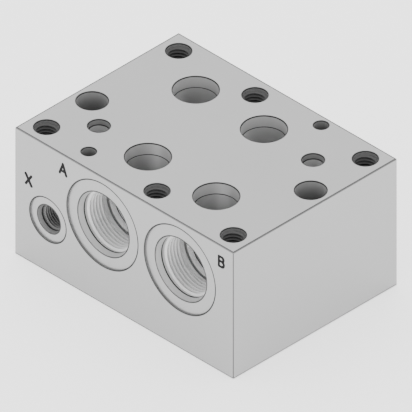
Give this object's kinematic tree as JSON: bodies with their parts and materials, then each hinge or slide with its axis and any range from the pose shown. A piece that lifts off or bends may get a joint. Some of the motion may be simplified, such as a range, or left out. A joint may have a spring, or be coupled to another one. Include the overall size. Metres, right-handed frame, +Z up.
{
  "type": "hydraulic valve subplate",
  "caption": "Rectangular machined aluminium subplate with a drilled valve face on top and threaded ports in its sides.",
  "frame": {"origin": "centre of the bottom face", "axes": "+X along the length, from the relief cavity's end to the bare end; +Y from the work port face to the supply port face; +Z up to the valve face"},
  "size_m": [0.1524, 0.1142, 0.0762],
  "materials": {
    "machined_block": "fine milled, satin, with drilled and bored holes"
  },
  "bodies": {
    "root": {"subplate_block": "machined_block"}
  },
  "joints": []
}
